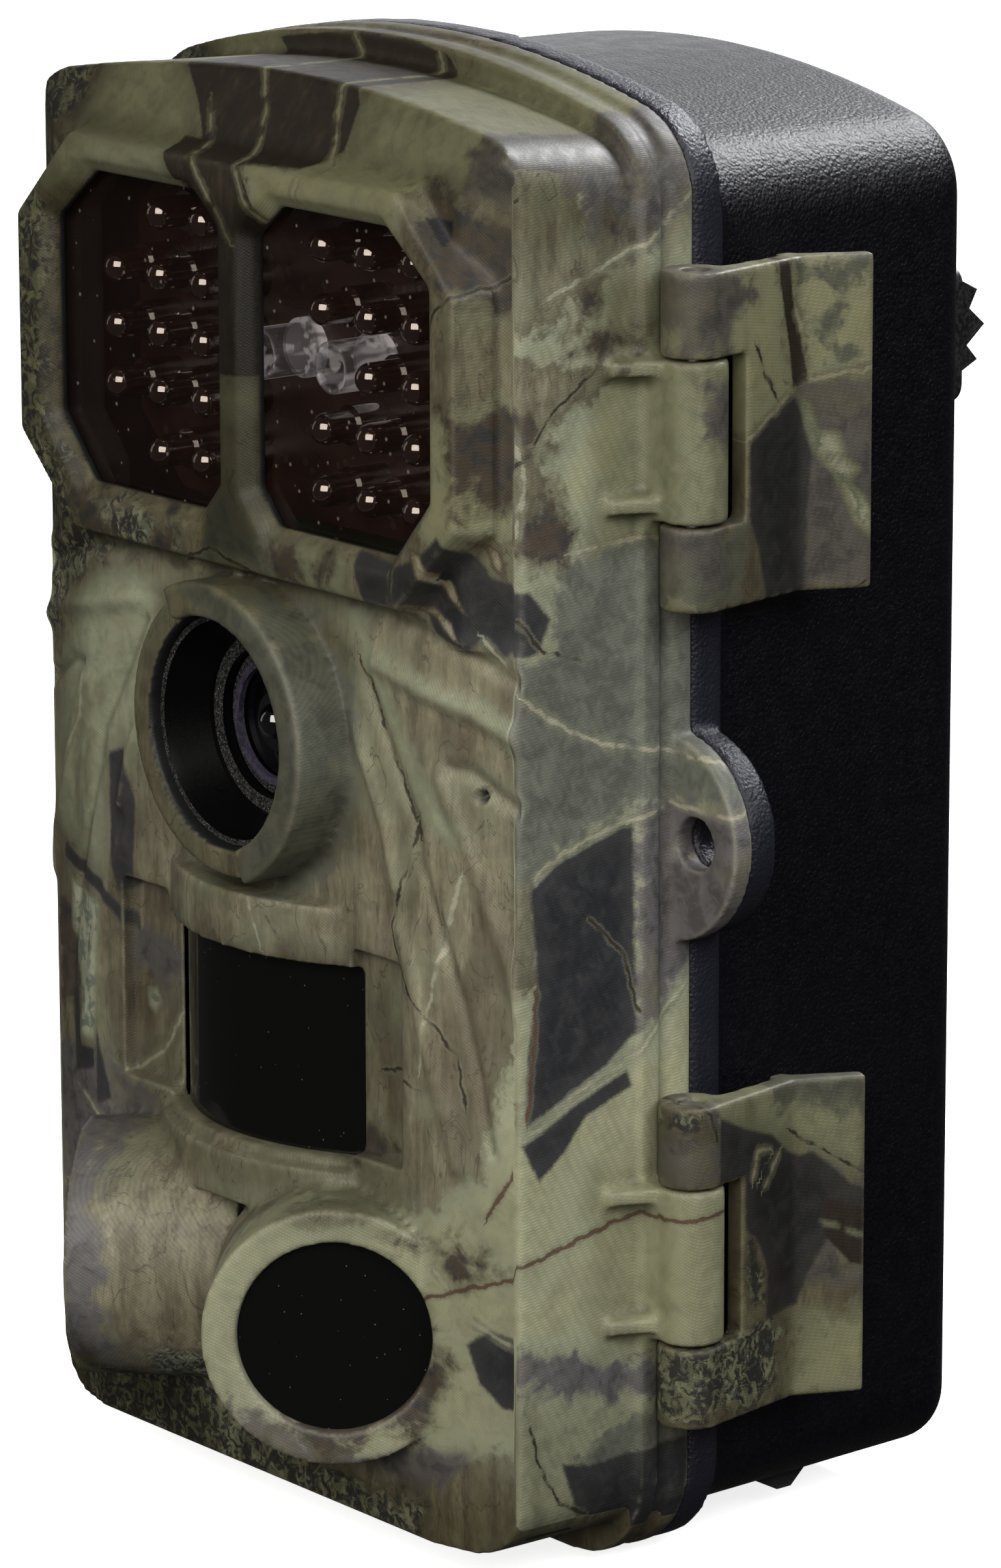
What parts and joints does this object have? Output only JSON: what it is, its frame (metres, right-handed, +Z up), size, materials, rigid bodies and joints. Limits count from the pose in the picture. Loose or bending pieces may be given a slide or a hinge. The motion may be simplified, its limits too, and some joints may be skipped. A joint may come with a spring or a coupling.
{
  "type": "trail camera",
  "caption": "Upright weatherproof trail camera that opens like a book, with infrared flash windows, hooded lens, motion sensors, side latches and tree bracket.",
  "frame": {"origin": "centre of the mouth of the tripod thread, in the bottom face of the rear case", "axes": "+X to the right seen from the front, +Y from the lens side to the back, +Z up"},
  "size_m": [0.0899, 0.0843, 0.1441],
  "materials": {
    "camo_shell": "moulded ABS with a printed camouflage film",
    "camo_lever": "moulded ABS with a printed camouflage film",
    "black_case": "black textured ABS",
    "black_part": "smooth black ABS",
    "ir_filter": "dark brown infrared-pass acrylic",
    "pir_black": "glossy black infrared-clear plastic",
    "lamp_dark": "smoked epoxy",
    "lamp_clear": "clear epoxy",
    "board_green": "solder-masked glass-fibre board",
    "board_black": "black solder mask",
    "chip": "epoxy package",
    "lens_glass": "coated glass",
    "lens_metal": "anodised",
    "steel": "plated",
    "brass": "machined",
    "silicone": "soft black",
    "screen_glass": "display glass",
    "button_grey": "grey silicone",
    "switch_white": "white knob",
    "cell_wrap": "shrink sleeve",
    "card_blue": "memory card shell",
    "nickel": "nickel plated spring steel"
  },
  "bodies": {
    "rear_case": {"rear_shell": "black_case", "seal": "silicone", "tripod_insert": "brass", "hinge_pin": "steel", "battery_tray": "black_part", "cells": "cell_wrap", "contact_plates": "nickel", "contact_springs": "nickel", "power_socket": "black_part", "tree_bracket": "black_part", "bracket_screws": "steel"},
    "front_door": {"front_shell": "camo_shell", "window_left": "ir_filter", "window_right": "ir_filter", "ir_lamps": "lamp_dark", "clear_lamps": "lamp_clear", "flash_board": "board_black", "lens_baffle": "black_part", "lens_barrel": "black_part", "lens_ring": "lens_metal", "lens_glass": "lens_glass", "lens_front_element": "lens_glass", "image_sensor": "chip", "sensor_board": "board_green", "pir_window": "pir_black", "side_pir_left": "pir_black", "side_pir_right": "pir_black", "pir_sensors": "steel", "main_board": "board_green", "processor": "chip", "microphone": "lens_metal", "card_socket": "steel", "usb_socket": "steel", "inner_panel": "black_part", "screen": "chip", "screen_window": "screen_glass", "panel_screws": "steel", "button_domes": "nickel", "latch_pins": "steel"},
    "latch_upper": {"latch_lever_upper": "camo_lever"},
    "latch_lower": {"latch_lever_lower": "camo_lever"},
    "button_up": {"button_up": "button_grey"},
    "button_down": {"button_down": "button_grey"},
    "button_left": {"button_left": "button_grey"},
    "button_right": {"button_right": "button_grey"},
    "button_ok": {"button_ok": "button_grey"},
    "button_menu": {"button_menu": "button_grey"},
    "button_replay": {"button_replay": "button_grey"},
    "mode_switch": {"mode_switch": "switch_white"},
    "memory_card": {"memory_card": "card_blue"},
    "power_plug": {"power_plug": "silicone"}
  },
  "joints": [
    {"name": "door_hinge", "type": "hinge", "parent": "rear_case", "child": "front_door", "pos_m": [-0.0407, -0.017, 0.07], "axis": [0, 0, -1], "range_deg": [0, 120]},
    {"name": "latch_upper_pivot", "type": "hinge", "parent": "front_door", "child": "latch_upper", "pos_m": [0.04075, -0.0198, 0.1066], "axis": [0, 0, -1], "range_deg": [0, 100]},
    {"name": "latch_lower_pivot", "type": "hinge", "parent": "front_door", "child": "latch_lower", "pos_m": [0.04075, -0.0198, 0.0278], "axis": [0, 0, -1], "range_deg": [0, 100]},
    {"name": "button_up_press", "type": "slide", "parent": "front_door", "child": "button_up", "axis": [0, -1, 0], "range_m": [0, 0.00035], "stiffness_N_per_m": 1500},
    {"name": "button_down_press", "type": "slide", "parent": "front_door", "child": "button_down", "axis": [0, -1, 0], "range_m": [0, 0.00035], "stiffness_N_per_m": 1500},
    {"name": "button_left_press", "type": "slide", "parent": "front_door", "child": "button_left", "axis": [0, -1, 0], "range_m": [0, 0.00035], "stiffness_N_per_m": 1500},
    {"name": "button_right_press", "type": "slide", "parent": "front_door", "child": "button_right", "axis": [0, -1, 0], "range_m": [0, 0.00035], "stiffness_N_per_m": 1500},
    {"name": "button_ok_press", "type": "slide", "parent": "front_door", "child": "button_ok", "axis": [0, -1, 0], "range_m": [0, 0.00035], "stiffness_N_per_m": 1500},
    {"name": "button_menu_press", "type": "slide", "parent": "front_door", "child": "button_menu", "axis": [0, -1, 0], "range_m": [0, 0.00035], "stiffness_N_per_m": 1500},
    {"name": "button_replay_press", "type": "slide", "parent": "front_door", "child": "button_replay", "axis": [0, -1, 0], "range_m": [0, 0.00035], "stiffness_N_per_m": 1500},
    {"name": "mode_switch_slide", "type": "slide", "parent": "front_door", "child": "mode_switch", "axis": [1, 0, 0], "range_m": [0, 0.006]},
    {"name": "memory_card_eject", "type": "slide", "parent": "front_door", "child": "memory_card", "axis": [0, 0, -1], "range_m": [0, 0.003]},
    {"name": "power_plug_pull", "type": "slide", "parent": "rear_case", "child": "power_plug", "axis": [0, 0, -1], "range_m": [0, 0.009]}
  ]
}
